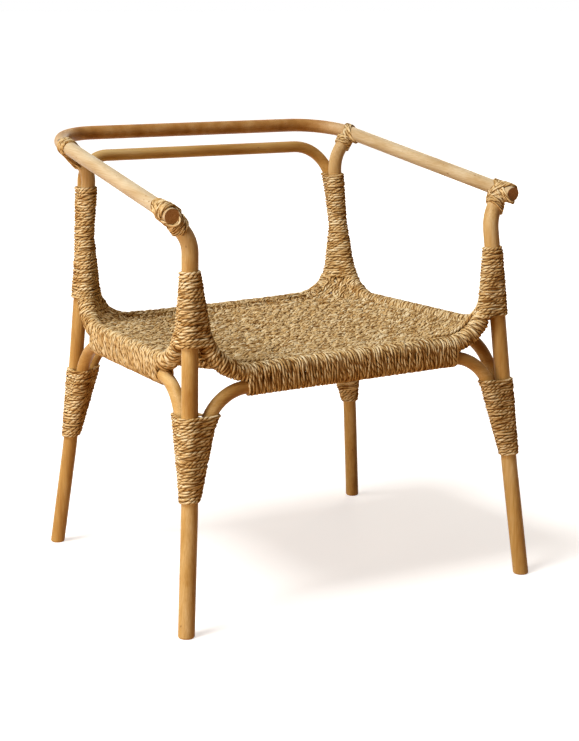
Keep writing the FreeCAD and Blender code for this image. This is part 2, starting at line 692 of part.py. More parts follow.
def coil_stations(centre_at, reach, place_of, quarters, hand=1.0):
    """Turns of cord round a pole; place_of gives the place along it after so many quarter turns."""

    def point(quarter):
        place = place_of(quarter)
        along = (centre_at(place + NUDGE) - centre_at(place - NUDGE)).normalize()
        upward = (UP - along * along.z).normalize()
        angle = (quarter - 0.5) * math.pi / 2
        return centre_at(place) + (upward * math.cos(angle) + along.cross(upward) * (hand * math.sin(angle))) * reach

    return [(point(quarter), (point(quarter + NUDGE) - point(quarter - NUDGE)).normalize())
            for quarter in range(quarters + 1)]


def roll_stations(bend, brace, ceiling):
    """Turns of cord round the bend of a seat rail, from its cover to the binding of the post."""
    reach = POLE_RADIUS["rail"] + size("cord_clearance") + cord_radius
    inner_radius = bend.radius - reach
    past_cover = math.asin((size("band_past_bend") + cord_radius + size("turn_gap")) / inner_radius)
    above_brace = brace.radius + POLE_RADIUS["brace"] + size("cord_clearance") + cord_radius
    past_brace = halve(0.0, bend.turn, lambda angle: (
        brace.centre.distanceToPoint(bend.centre + bend.spoke(angle) * (bend.radius + reach)) < above_brace))
    start = max(past_cover, past_brace)
    finish = halve(start, bend.turn, lambda angle: (
        bend.point(angle).z - bend.spoke(angle).z * reach + cord_diameter < ceiling))
    quarters = 4 * turns_in(inner_radius * (finish - start))
    step = (finish - start) / quarters
    return coil_stations(bend.point, reach, lambda quarter: start + step * quarter, quarters)


def collar_stations(end, side):
    """Turns of cord round a post just under the hoop."""
    _, _, shoulder = post_points(end, side)
    top = post_top(end, side)
    down = (shoulder - top).normalize()
    reach = POST_RADIUS[end] + size("cord_clearance") + cord_radius
    return coil_stations(
        lambda place: top + down * place, reach,
        lambda quarter: size("collar_drop") + TURN_PITCH * quarter / 4, 4 * round(size("collar_turns")))


def lashing_stations(end, side):
    """Turns of cord round the hoop on both sides of a post, which cross over the joint between them."""
    sides_of_post = ["end", "arm"] if end == "front" else ["arm", "end"]
    before, after = [4 * round(size(f"lashing_{place}_turns")) for place in sides_of_post]
    crossing = 2
    half_gap = size("lashing_half_gap")
    joint = hoop_path[0].distanceToPoint(hoop_point(-1.0, JOINT_Y[end]))
    reach = size("hoop_diameter") / 2 + size("cord_clearance") + cord_radius

    def place_of(quarter):
        crossed = min(max(quarter - before, 0.0), crossing) / crossing
        across = crossed ** 2 * (3 - 2 * crossed)
        wound = (quarter - before - crossing * across) / 4
        return joint - half_gap + 2 * half_gap * across + TURN_PITCH * wound

    return coil_stations(lambda place: hoop_at(side, place), reach, place_of, before + crossing + after, side)


for end_index, end in enumerate(ENDS):
    for side_index, (side_name, side) in enumerate(SIDES):
        corner_name = f"{end}_{side_name}"
        braces = [bends["brace", end][side_index], bends["brace", side_name][end_index]]
        rails = [bends["rail", end][side_index], bends["rail", side_name][end_index]]
        add_winding("leg_binding_" + corner_name, wrap_stations(end, side, "brace", braces, *LEG_WRAP[end]))
        add_winding("post_binding_" + corner_name, wrap_stations(end, side, "rail", rails, *POST_WRAP[end]))
        for rail, brace, direction in zip(rails, braces, ("cross", "side")):
            turns = roll_stations(rail, brace, POST_WRAP[end][0])
            add_winding(f"rail_turns_{corner_name}_{direction}", turns)
        add_winding("post_collar_" + corner_name, collar_stations(end, side))
        add_winding("arm_lashing_" + corner_name, lashing_stations(end, side))
for side_index, (side_name, side) in enumerate(SIDES):
    back_bend = bends["back_rail", "rear"][side_index]
    add_winding("back_rail_binding_" + side_name,
                wrap_stations("rear", side, "back_rail", [back_bend], *BACK_WRAP))

# Every object is checked before anything is written
doc.recompute()
for candidate in doc.Objects:
    if "Invalid" in candidate.State or "Error" in candidate.State:
        raise RuntimeError(f"{candidate.Name} failed: {candidate.State}")
for name, node in nodes.items():
    if node.Shape.isNull() or not node.Shape.isValid():
        raise RuntimeError(f"{name} has no valid shape")
    print(name, len(node.Shape.Solids), "solids", round(node.Shape.Volume), "mm3")
os.makedirs("parts", exist_ok=True)
for name, node in nodes.items():
    node.Shape.exportStep(f"parts/{name}.step")
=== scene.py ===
# %% [markdown]
# # A rattan armchair, bound and seated with seagrass cord
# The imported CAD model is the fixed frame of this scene. Its bent poles stay and get a rattan finish.
# Its plain windings, covers and seat are stand-ins, and twisted cord takes their place here.
# All paths below are in millimetres in the CAD frame: +Z is up and the chair's front faces -Y.

# %% Load the frame
import math

import bpy
import numpy as np
from mathutils import Matrix, Vector


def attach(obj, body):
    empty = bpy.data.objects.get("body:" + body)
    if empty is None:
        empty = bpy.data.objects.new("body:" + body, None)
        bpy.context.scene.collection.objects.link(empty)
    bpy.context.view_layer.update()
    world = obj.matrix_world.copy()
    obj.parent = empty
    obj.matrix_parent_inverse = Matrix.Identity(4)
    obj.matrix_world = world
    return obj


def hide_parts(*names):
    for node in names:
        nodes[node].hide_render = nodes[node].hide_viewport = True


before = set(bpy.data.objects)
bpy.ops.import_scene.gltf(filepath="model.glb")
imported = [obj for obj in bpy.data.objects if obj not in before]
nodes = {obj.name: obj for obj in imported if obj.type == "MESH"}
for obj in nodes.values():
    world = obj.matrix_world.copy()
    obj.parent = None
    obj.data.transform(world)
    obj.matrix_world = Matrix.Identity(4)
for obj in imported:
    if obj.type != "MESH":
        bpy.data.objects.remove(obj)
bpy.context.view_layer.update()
MM = 0.001

# %% [markdown]
# ## Helpers
# Colours are written as a screen shows them, in sRGB hex, but Blender mixes light in linear values, so one
# function turns the first into the second. Another adds every node of this file, sets it up and links it.
# A material or a tree then reads like a recipe from top to bottom.


# %% Colours and nodes
def linear(hex_colour):
    """Linear colour of an sRGB hex value."""
    channels = [int(hex_colour[place:place + 2], 16) / 255 for place in (1, 3, 5)]
    return (*(c / 12.92 if c <= 0.04045 else ((c + 0.055) / 1.055) ** 2.4 for c in channels), 1.0)


def feed(made, inputs):
    """Gives a node's inputs their values, or the sockets or nodes that feed them."""
    for name, value in inputs.items():
        if isinstance(value, bpy.types.Node):
            value = next(socket for socket in value.outputs if socket.enabled)
        if isinstance(value, bpy.types.NodeSocket):
            made.id_data.links.new(value, made.inputs[name])
        else:
            made.inputs[name].default_value = value


def node(tree, kind, inputs=None, stops=(), **settings):
    """Node with its settings and what feeds it. Only a colour ramp has stops."""
    made = tree.nodes.new(kind)
    for name, value in settings.items():
        setattr(made, name, value)
    feed(made, inputs or {})
    for count, (place, colour) in enumerate(stops):
        elements = made.color_ramp.elements
        element = elements[count] if count < 2 else elements.new(place)
        element.position = place
        element.color = linear(colour)
    return made


def new_material(name):
    """Material with an empty tree, its surface shader and its output."""
    material = bpy.data.materials.new(name)
    material.use_nodes = True
    tree = material.node_tree
    tree.nodes.clear()
    shader = node(tree, "ShaderNodeBsdfPrincipled")
    node(tree, "ShaderNodeOutputMaterial", {"Surface": shader})
    return material, tree, shader


def finish(name, material):
    """Gives a CAD node its only material."""
    nodes[name].data.materials.clear()
    nodes[name].data.materials.append(material)


def add(name, data):
    """New object in the scene."""
    item = bpy.data.objects.new(name, data)
    bpy.context.scene.collection.objects.link(item)
    return item


print("helpers ready")

# %% [markdown]
# ## Rattan
# Rattan is a climbing palm. The poles are peeled and sanded, bent with steam and given a thin satin varnish.
# That leaves a honey colour that drifts slowly along the pole, fine fibre streaks and a few brown marks.
# Painted light makes the arms and the tops of the posts paler. Painted shade gives the hoop deeper tones, which
# show at its back.
# The streaks follow the pole, so each material stretches its noise along the axis on which its poles mostly
# run. A material with one fixed direction would draw the streaks across the poles that run the other way.

# %% Colours and patterns of peeled rattan
# Width and length of each pattern in millimetres, and the detail of its noise.
TONE = (26.0, 150.0, 3.0)
FIBRE = (1.6, 110.0, 2.0)
MARK = (5.0, 9.0, 1.0)
PORES = (1.2, 1.2, 2.0)
TONE_STOPS = (0.30, 0.50, 0.70)
HONEY = ("#B68A4A", "#CFAA69", "#E2C690")
# Painted shade: deeper tones for the hoop, which show at its back.
PAINTED_SHADE_HONEY = ("#A26F30", "#B68444", "#C99D60")
# Painted light: pale tones for the arms and the tops of the posts.
PAINTED_LIGHT_TONES = ("#BDA378", "#D0BD99", "#DCD0B4")
STREAKS = [(0.35, "#E6D6BA"), (0.65, "#FFFFFF")]
STREAK_SHARE = 0.6
MARK_PLACES = [(0.75, "#000000"), (0.80, "#FFFFFF")]
MARK_BROWN = "#9A6F40"
END_GRAIN = [(0.35, "#946638"), (0.65, "#C2935C")]
# Where the painted light on a stretch begins and where it is full, in metres along an axis.
HOOP_PAINTED_LIGHT = ("Y", 0.335, 0.19)
POST_PAINTED_LIGHT = ("Z", 0.50, 0.95)
# The sawn ends of the arms face this way, as far as the least cosine, and lie in front of this depth in metres.
ARM_END_WAY = (0.0, -0.99, -0.135)
ARM_END_COSINE = 0.95
ARM_END_Y = -0.24
print("honey", HONEY, "deep honey", PAINTED_SHADE_HONEY, "with_painted_light", PAINTED_LIGHT_TONES)


# %% Parts of the rattan material
def pattern(tree, axis, width, length, detail):
    """Noise with a real width, and a real length along an axis, in millimetres."""
    scale = [1000.0 / width] * 3
    scale["XYZ".index(axis)] = 1000.0 / length
    place = node(tree, "ShaderNodeTexCoord").outputs["Object"]
    spread = node(tree, "ShaderNodeMapping", {"Vector": place, "Scale": scale})
    return node(tree, "ShaderNodeTexNoise", {"Vector": spread, "Scale": 1.0, "Detail": detail})


def with_painted_light(tree, colour, tone, place, painted_light):
    """Colour that turns pale with painted light on a stretch of the pole."""
    along, begins, full = painted_light
    share = node(tree, "ShaderNodeMapRange", {"Value": place[along], "From Min": begins, "From Max": full},
                 interpolation_type="SMOOTHSTEP")
    pale = node(tree, "ShaderNodeValToRGB", {"Fac": tone}, zip(TONE_STOPS, PAINTED_LIGHT_TONES))
    return node(tree, "ShaderNodeMix", {0: share, 6: colour, 7: pale}, data_type="RGBA")


def with_sawn_ends(tree, colour, axis, place):
    """Colour with end grain on the sawn ends of the arms."""
    normal = node(tree, "ShaderNodeNewGeometry").outputs["Normal"]
    facing = node(tree, "ShaderNodeVectorMath", {0: normal, 1: ARM_END_WAY}, operation="DOT_PRODUCT")
    square = node(tree, "ShaderNodeMath", {0: facing, 1: ARM_END_COSINE}, operation="GREATER_THAN")
    ahead = node(tree, "ShaderNodeMath", {0: place["Y"], 1: ARM_END_Y}, operation="LESS_THAN")
    sawn = node(tree, "ShaderNodeMath", {0: square, 1: ahead}, operation="MULTIPLY")
    grain = node(tree, "ShaderNodeValToRGB", {"Fac": pattern(tree, axis, *PORES)}, END_GRAIN)
    return node(tree, "ShaderNodeMix", {0: sawn, 6: colour, 7: grain}, data_type="RGBA")


print("patterns, bleach and sawn ends ready")

# %% Peeled rattan, one material for each direction of the poles
VARNISH_ROUGHNESS = (0.36, 0.5)
VARNISH_IOR = 1.5
VARNISH_SPECULAR = 0.12
FIBRE_RELIEF = 0.2


def rattan(name, axis, tones=HONEY, painted_light=None, sawn_ends=False):
    """Peeled and varnished rattan whose fibres run along an axis."""
    material, tree, shader = new_material(name)
    tone, fibre, mark = (pattern(tree, axis, *sizes) for sizes in (TONE, FIBRE, MARK))
    spot = node(tree, "ShaderNodeTexCoord").outputs["Object"]
    place = node(tree, "ShaderNodeSeparateXYZ", {"Vector": spot}).outputs
    colour = node(tree, "ShaderNodeValToRGB", {"Fac": tone}, zip(TONE_STOPS, tones))
    if painted_light:
        colour = with_painted_light(tree, colour, tone, place, painted_light)
    streaks = node(tree, "ShaderNodeValToRGB", {"Fac": fibre}, STREAKS)
    streaked = node(tree, "ShaderNodeMix", {0: STREAK_SHARE, 6: colour, 7: streaks}, data_type="RGBA",
                    blend_type="MULTIPLY")
    marked = node(tree, "ShaderNodeValToRGB", {"Fac": mark}, MARK_PLACES)
    colour = node(tree, "ShaderNodeMix", {0: marked, 6: streaked, 7: linear(MARK_BROWN)}, data_type="RGBA")
    if sawn_ends:
        colour = with_sawn_ends(tree, colour, axis, place)
    smoothest, roughest = VARNISH_ROUGHNESS
    gloss = node(tree, "ShaderNodeMapRange", {"Value": fibre, "To Min": smoothest, "To Max": roughest})
    bump = node(tree, "ShaderNodeBump", {"Height": fibre, "Strength": 0.25, "Distance": FIBRE_RELIEF * MM})
    feed(shader, {"Base Color": colour, "Roughness": gloss, "Normal": bump, "IOR": VARNISH_IOR,
                  "Specular IOR Level": VARNISH_SPECULAR})
    return material


# The hoop's deeper tones are painted shade; painted light makes its arms and the tops of the posts paler.
RATTAN = {"hoop": rattan("peeled_rattan_hoop", "Y", PAINTED_SHADE_HONEY, HOOP_PAINTED_LIGHT, sawn_ends=True),
          "post": rattan("peeled_rattan_posts", "Z", HONEY, POST_PAINTED_LIGHT),
          "X": rattan("peeled_rattan_along_x", "X"), "Y": rattan("peeled_rattan_along_y", "Y")}
POLES = {"arm_hoop": "hoop", "lower_back_rail": "X", "seat_stretcher": "X"}
for kind in ("seat_rail", "brace"):
    POLES |= {f"{kind}_{place}": axis for place, axis in zip(("front", "rear", "left", "right"), "XXYY")}
POLES |= {f"post_{end}_{side}": "post" for end in ("front", "rear") for side in ("left", "right")}
for name, finish_name in POLES.items():
    finish(name, RATTAN[finish_name])
print("rattan on", len(POLES), "poles")

# %% [markdown]
# ## Steel fasteners
# Wire nails and wood screws hold the joints. They lie under the cord, so plain drawn steel is enough:
# a grey metal whose roughness drifts a little. Scratches or rust would never be seen.

# %% Drawn steel
WEAR_SIZE = 3.0
STEEL_GREYS = [(0.3, "#7C7A76"), (0.7, "#A5A39E")]
drawn_steel, tree, shader = new_material("drawn_steel_wire")
place = node(tree, "ShaderNodeTexCoord").outputs["Object"]
wear = node(tree, "ShaderNodeTexNoise", {"Vector": place, "Scale": 1000.0 / WEAR_SIZE})
greys = node(tree, "ShaderNodeValToRGB", {"Fac": wear}, STEEL_GREYS)
rough = node(tree, "ShaderNodeMapRange", {"Value": wear, "To Min": 0.3, "To Max": 0.5})
feed(shader, {"Base Color": greys, "Roughness": rough, "Metallic": 1.0})
FASTENERS = [name for name in nodes if name.endswith(("_nails", "_screws"))]
for name in FASTENERS:
    finish(name, drawn_steel)
print("steel on", len(FASTENERS), "groups of fasteners")

# %% [markdown]
# ## Seagrass
# Dried seagrass leaves are twisted into plies, and two plies into a cord. The eye sees matt, straw-coloured
# ridges with grooves where the plies meet, and the material paints shade into those grooves.
# A tube with a bump map would be smooth at its outline, so the cord is a real twisted form: one profile with
# two lobes is swept along a path and turned as it goes.
# The sweep stores where each point lies round the cord and along it, and the material reads that.

# %% Twisted seagrass
FIBRE_RUN = 9.0
DRIFT_RUN = 40.0
FIBRES_ROUND = 2.6
FIBRE_DEPTH = 0.5
STRAW = [(0.34, "#A2763C"), (0.48, "#DABB82"), (0.62, "#F8EAC4")]
# Painted shade in the grooves between the plies, browner and darker as the groove deepens.
GROOVE_SHADE = [(0.5, "#FFFFFF"), (0.75, "#BEAA90"), (1.0, "#664B2B")]
SEAGRASS, tree, shader = new_material("twisted_seagrass")
section, along, groove = (
    node(tree, "ShaderNodeAttribute", attribute_name=name).outputs[socket]
    for name, socket in (("section", "Vector"), ("along", "Fac"), ("groove", "Fac")))
runs, drifts = (node(tree, "ShaderNodeMath", {0: along, 1: 1000.0 / length}, operation="MULTIPLY")
                for length in (FIBRE_RUN, DRIFT_RUN))
split = node(tree, "ShaderNodeSeparateXYZ", {"Vector": section}).outputs
place = node(tree, "ShaderNodeCombineXYZ", {"X": split["X"], "Y": split["Y"], "Z": runs})
fibres = node(tree, "ShaderNodeTexNoise", {"Vector": place, "Scale": FIBRES_ROUND, "Detail": 3.0})
drift = node(tree, "ShaderNodeTexNoise", {"W": drifts, "Scale": 1.0, "Detail": 2.0}, noise_dimensions="1D")
mixed = node(tree, "ShaderNodeMix", {0: 0.5, 2: fibres, 3: drift})
straw = node(tree, "ShaderNodeValToRGB", {"Fac": mixed}, STRAW)
shade = node(tree, "ShaderNodeValToRGB", {"Fac": groove}, GROOVE_SHADE)
colour = node(tree, "ShaderNodeMix", {0: 1.0, 6: straw, 7: shade}, data_type="RGBA", blend_type="MULTIPLY")
bump = node(tree, "ShaderNodeBump", {"Height": fibres, "Strength": 0.5, "Distance": FIBRE_DEPTH * MM})
rough = node(tree, "ShaderNodeMapRange", {"Value": fibres, "To Min": 0.6, "To Max": 0.85})
feed(shader, {"Base Color": colour, "Roughness": rough, "Normal": bump, "Specular IOR Level": 0.0})
print("material", SEAGRASS.name)

# %% [markdown]
# ## The cord as a tree of Geometry Nodes
# Every cord of the chair is made up alike and differs only in its path and a few sizes. Modelling each would
# take long and look uneven. So one tree, with those sizes as its inputs, makes them all from meshes that hold
# only paths. A path is cut into even steps, wanders a little as a hand-laid cord does, and turns the profile.

# %% Path and profile of the cord
# Steps from strand to strand in the wander's noise and, in metres, in the drift of the colour.
STRAND_NOISE = 7.3
STRAND_DRIFT = 0.37
PROFILE_POINTS = 8


def twisted_path(tree, given):
    """Path in even steps that wanders and twists, with its length stored along it."""
    path = node(tree, "GeometryNodeMeshToCurve", {"Mesh": given["Geometry"]})
    even = node(tree, "GeometryNodeResampleCurve", {"Curve": path, "Length": given["Step"]}, mode="LENGTH")
    along = node(tree, "GeometryNodeSplineParameter").outputs["Length"]
    waves = node(tree, "ShaderNodeMath", {0: along, 1: given["Wander Length"]}, operation="DIVIDE")
    strand = node(tree, "GeometryNodeCurveOfPoint").outputs["Curve Index"]
    start = node(tree, "ShaderNodeMath", {0: strand, 1: STRAND_NOISE, 2: given["Seed"]},
                 operation="MULTIPLY_ADD")
    phase = node(tree, "ShaderNodeMath", {0: waves, 1: start}, operation="ADD")
    noise = node(tree, "ShaderNodeTexNoise", {"W": phase, "Scale": 1.0, "Detail": 0.0}, noise_dimensions="1D")
    centred = node(tree, "ShaderNodeVectorMath", {0: noise.outputs["Color"], 1: (0.5, 0.5, 0.5)},
                   operation="SUBTRACT")
    allowed = node(tree, "ShaderNodeVectorMath", {0: centred, 1: given["Wander Ways"]}, operation="MULTIPLY")
    shift = node(tree, "ShaderNodeVectorMath", {0: allowed, "Scale": given["Wander"]}, operation="SCALE")
    wandering = node(tree, "GeometryNodeSetPosition", {"Geometry": even, "Offset": shift})
    turns = node(tree, "ShaderNodeMath", {0: along, 1: given["Twist Pitch"]}, operation="DIVIDE")
    slip = node(tree, "ShaderNodeMath", {0: noise, 1: given["Twist Wander"]}, operation="MULTIPLY")
    tilt = node(tree, "ShaderNodeMath", {0: turns, 1: 2 * math.pi, 2: slip}, operation="MULTIPLY_ADD")
    twisted = node(tree, "GeometryNodeSetCurveTilt", {"Curve": wandering, "Tilt": tilt})
    walked = node(tree, "ShaderNodeMath", {0: strand, 1: STRAND_DRIFT, 2: along}, operation="MULTIPLY_ADD")
    return node(tree, "GeometryNodeStoreNamedAttribute", {
        "Geometry": twisted, "Name": "along", "Value": walked}, data_type="FLOAT", domain="POINT")


def two_lobes(tree, given):
    """Round profile pinched to a waist, with its places and the depth of its grooves stored on it."""
    ring = node(tree, "GeometryNodeCurvePrimitiveCircle", {"Resolution": PROFILE_POINTS, "Radius": 1.0})
    here = node(tree, "GeometryNodeInputPosition")
    across = node(tree, "ShaderNodeSeparateXYZ", {"Vector": here}).outputs["Y"]
    groove = node(tree, "ShaderNodeMath", {0: across, 1: across}, operation="MULTIPLY")
    placed = node(tree, "GeometryNodeStoreNamedAttribute", {
        "Geometry": ring, "Name": "section", "Value": here}, data_type="FLOAT_VECTOR", domain="POINT")
    grooved = node(tree, "GeometryNodeStoreNamedAttribute", {
        "Geometry": placed, "Name": "groove", "Value": groove}, data_type="FLOAT", domain="POINT")
    pinch = node(tree, "ShaderNodeMapRange", {"Value": groove, "To Min": 1.0, "To Max": given["Waist"]})
    radius = node(tree, "ShaderNodeMath", {0: given["Cord Diameter"], 1: 0.5}, operation="MULTIPLY")
    reach = node(tree, "ShaderNodeMath", {0: pinch, 1: radius}, operation="MULTIPLY")
    lobes = node(tree, "ShaderNodeVectorMath", {0: here, "Scale": reach}, operation="SCALE")
    return node(tree, "GeometryNodeSetPosition", {"Geometry": grooved, "Position": lobes})


print("path and profile ready")


# %% The tree
def cord_tree():
    """Sweeps a two-lobed profile along every path of a mesh and twists it."""
    tree = bpy.data.node_groups.new("twisted_cord", "GeometryNodeTree")
    tree.interface.new_socket("Geometry", in_out="INPUT", socket_type="NodeSocketGeometry")
    for name in ("Cord Diameter", "Waist", "Twist Pitch", "Twist Wander", "Step", "Wander", "Wander Length",
                 "Seed"):
        tree.interface.new_socket(name, in_out="INPUT", socket_type="NodeSocketFloat")
    tree.interface.new_socket("Wander Ways", in_out="INPUT", socket_type="NodeSocketVector")
    tree.interface.new_socket("Finish", in_out="INPUT", socket_type="NodeSocketMaterial")
    tree.interface.new_socket("Geometry", in_out="OUTPUT", socket_type="NodeSocketGeometry")
    given = node(tree, "NodeGroupInput").outputs
    swept = node(tree, "GeometryNodeCurveToMesh", {
        "Curve": twisted_path(tree, given), "Profile Curve": two_lobes(tree, given), "Fill Caps": True})
    smooth = node(tree, "GeometryNodeSetShadeSmooth", {"Geometry": swept})
    real = node(tree, "GeometryNodeRealizeInstances", {"Geometry": smooth})
    finished = node(tree, "GeometryNodeSetMaterial", {"Geometry": real, "Material": given["Finish"]})
    node(tree, "NodeGroupOutput", {"Geometry": finished})
    return tree


CORD_TREE = cord_tree()
print("cord tree with", len(CORD_TREE.nodes), "nodes")

# %% A piece of cord
CORD = {"diameter": 6.2, "twist": -28.0, "step": 2.4, "wander": 1.6, "wander_length": 40.0}
SOCKETS = {"Cord Diameter": "diameter", "Twist Pitch": "twist", "Step": "step", "Wander": "wander",
           "Wander Length": "wander_length"}
SEED_STEP = 37.0
triangles = {}


def path_mesh(name, paths):
    """Mesh of points and edges along paths in millimetres. A path that closes becomes a ring."""
    points, edges, first = [], [], 0
    for path in paths:
        closed = np.allclose(path[0], path[-1])
        count = len(path) - closed
        points.append(path[:count])
        edges += [(first + step, first + (step + 1) % count) for step in range(count - 1 + closed)]
        first += count
    mesh = bpy.data.meshes.new(name)
    mesh.from_pydata((np.vstack(points) * MM).tolist(), edges, [])
    return mesh


def cord_piece(name, paths, replaced, waist=0.72, slip=10.0, ways=(1.0, 1.0, 1.0), **changes):
    """Piece of twisted cord along paths, in place of CAD nodes."""
    maker = add(name + "_maker", path_mesh(name + "_path", paths))
    modifier = maker.modifiers.new("cord", "NODES")
    modifier.node_group = CORD_TREE
    sizes = CORD | changes
    values = {socket: sizes[key] * MM for socket, key in SOCKETS.items()}
    values |= {"Waist": waist, "Twist Wander": slip, "Wander Ways": ways, "Finish": SEAGRASS,
               "Seed": SEED_STEP * (len(triangles) + 1)}
    for item in CORD_TREE.interface.items_tree:
        if item.in_out == "INPUT" and item.name in values:
            modifier[item.identifier] = values[item.name]
    evaluated = maker.evaluated_get(bpy.context.evaluated_depsgraph_get())
    mesh = bpy.data.meshes.new_from_object(evaluated)
    bpy.data.objects.remove(maker)
    mesh.name = name
    piece = add(name, mesh)
    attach(piece, "root")
    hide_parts(*replaced)
    triangles[name] = sum(len(face.vertices) - 2 for face in mesh.polygons)


print("usual cord, in millimetres:", CORD)

# %% [markdown]
# ## Where the poles run
# The cord is wound round the poles, so their centre lines are needed. Each post is straight from its knee to
# its shoulder. A rail or a brace is a straight pole whose ends bend and lie beside the posts.
# The meshes of the CAD nodes hold no centre lines, so these are worked out again from the chair's measures.

# %% Measures of posts, rails and braces
SIDES = {"left": -1.0, "right": 1.0}
ENDS = ("front", "rear")
KNEE = {"front": (322.7, -300.3, 205.0), "rear": (308.9, 225.9, 205.0)}
SHOULDER = {"front": (297.0, -252.5, 642.0), "rear": (263.5, 227.0, 705.0)}
POST_RADIUS = {"front": 14.0, "rear": 13.0}
POLE_RADIUS = {"rail": 11.5, "brace": 11.5, "back_rail": 11.0}
# Height of a pole's tip and how far it is from the post's centre line there.
TIP = {("rail", "front"): (583.0, 4.0), ("rail", "rear"): (576.0, 4.0), ("brace", "front"): (233.0, 4.0),
       ("brace", "rear"): (221.0, 4.0), ("back_rail", "rear"): (618.0, 14.0)}
# Height at which a pole leaves the post, and the gap between the two there.
ROOT = {("rail", "front"): 470.0, ("rail", "rear"): 471.0, ("brace", "front"): 362.0, ("brace", "rear"): 343.0,
        ("back_rail", "rear"): 690.0}
STANDOFF = {"rail": 0.3, "brace": 8.3, "back_rail": 0.3}
RAIL_HEIGHT = {"front": 425.5, "rear": 424.0}
SIDE_RISE = {"front": 11.5, "rear": 4.0}
HALF_TILT = 5.0
STACK = 23.3
BEND_RADIUS = {"front": 92.0, "rear": 76.0, "side": 88.0}
BRACE_BEND_RADIUS = 86.0
BACK_RAIL_HEIGHT = 731.0
BACK_BEND_RADIUS = {-1.0: 50.0, 1.0: 80.0}
INTO_SEAT = {"front": 1.0, "rear": -1.0}
print("rails at", RAIL_HEIGHT, "mm")


# %% Bends and lines
def vector(*values):
    """Point or direction as an array."""
    return np.array(values, float)


def unit(directions):
    """Directions of length one."""
    return directions / np.linalg.norm(directions, axis=-1, keepdims=True)


class Bend:
    """Arc that rounds one corner of a pole, with the straight runs before and after it."""

    STRAIGHT_END = 260.0
    SAMPLES = 700

    def __init__(self, before, corner, after, radius):
        self.radius = radius
        self.inward = unit(before - corner)
        self.outward = unit(after - corner)
        half = math.acos(self.inward @ self.outward) / 2
        self.turn = math.pi - 2 * half
        self.start = corner + self.inward * radius / math.tan(half)
        self.centre = corner + unit(self.inward + self.outward) * radius / math.sin(half)
        self.first = unit(self.start - self.centre)

    def points(self, places):
        """Points at places in millimetres along the pole, counted from the start of the arc."""
        places = np.atleast_1d(places)
        angles = np.clip(places / self.radius, 0, self.turn)
        spokes = np.outer(np.cos(angles), self.first) - np.outer(np.sin(angles), self.inward)
        before = np.minimum(places, 0)
        after = np.maximum(places - self.turn * self.radius, 0)
        return (self.centre + self.radius * spokes - np.outer(before, self.inward)
                + np.outer(after, self.outward))

    def at_heights(self, heights):
        """Points of the bent end at heights, and how upright the pole runs there."""
        line = self.points(np.linspace(0, self.turn * self.radius + self.STRAIGHT_END, self.SAMPLES))
        rising = np.sign(self.outward[2])
        steps = np.maximum.accumulate(line[:, 2] * rising)
        upright = np.abs(np.gradient(line[:, 2])) / np.linalg.norm(np.gradient(line, axis=0), axis=1)
        columns = [np.interp(heights * rising, steps, column) for column in (*line.T, upright)]
        return np.stack(columns[:3], axis=1), columns[3]


def post_axis(end, side, heights):
    """Points of a post's straight stretch at heights."""
    knee, shoulder = vector(*KNEE[end]) * vector(side, 1, 1), vector(*SHOULDER[end]) * vector(side, 1, 1)
    shares = (np.asarray(heights, float) - knee[2]) / (shoulder[2] - knee[2])
    return knee + np.multiply.outer(shares, shoulder - knee)


def lying_point(kind, end, side, direction, height):
    """Centre line of a pole's end beside a post."""
    tip, tip_offset = TIP[kind, end]
    root_offset = POST_RADIUS[end] + POLE_RADIUS[kind] + STANDOFF[kind]
    share = (height - tip) / (ROOT[kind, end] - tip)
    return post_axis(end, side, height) + direction * (tip_offset + (root_offset - tip_offset) * share)


print("front right post at 300 and 600 mm:", post_axis("front", 1.0, (300, 600)).round().tolist())

# %% Every bend of rails, braces and lower back rail
bends = {}
for kind, drop in (("rail", 0.0), ("brace", STACK)):
    knots = {}
    for end in ENDS:
        for side in SIDES.values():
            for way, direction, rise in (("cross", vector(-side, 0, 0), 0.0),
                                         ("side", vector(0, INTO_SEAT[end], 0), SIDE_RISE[end])):
                level = RAIL_HEIGHT[end] + rise + side * HALF_TILT - drop
                knots[end, side, way] = [lying_point(kind, end, side, direction, height)
                                         for height in (TIP[kind, end][0], level)]
    for (end, side, way), (tip, corner) in knots.items():
        across = (end, -side) if way == "cross" else ("rear" if end == "front" else "front", side)
        radius = BRACE_BEND_RADIUS if kind == "brace" else BEND_RADIUS[end if way == "cross" else "side"]
        bends[kind, end, side, way] = Bend(knots[(*across, way)][1], corner, tip, radius)
knots = {side: [lying_point("back_rail", "rear", side, vector(0, 1, 0), height)
                for height in (TIP["back_rail", "rear"][0], BACK_RAIL_HEIGHT)] for side in SIDES.values()}
for side in SIDES.values():
    bends["back_rail", "rear", side, "cross"] = Bend(
        knots[-side][1], knots[side][1], knots[side][0], BACK_BEND_RADIUS[side])
print(len(bends), "bends worked out")

# %% [markdown]
# ## Bindings of the posts
# A binding is one long cord wound upwards, side by side, round a post and the pole ends beside it. A stack of
# rings would be simpler, but it wouldn't climb. Seen from above, each turn is a tight loop round up to four
# circles. So at every angle the cord lies on the circle that reaches furthest that way, and between two
# circles it runs straight. The ends of the cord are tucked under.
# At the rear posts one binding holds the seat rails and, higher up, the lower back rail.

# %% Leg and post bindings
WIND_PITCH = 5.3
WIND_UNEVEN = 0.6
CORD_SEAT = 2.2
TUCK = 5.0
TUCK_TURN = 0.12
TURN_STEPS = 48
# A pole still counts this far past its tip, because the cord can't drop at once.
FADE = {"rail": 9.0, "brace": 6.0, "back_rail": 80.0}
OUT_OF_REACH = -1000.0
LEAST_UPRIGHT = 0.4
LEG_WRAP = {"front": (219.0, 362.0), "rear": (207.0, 343.0)}
POST_WRAP = {"front": (470.0, 597.0), "rear": (471.0, 679.0)}
chance = np.random.default_rng(11)


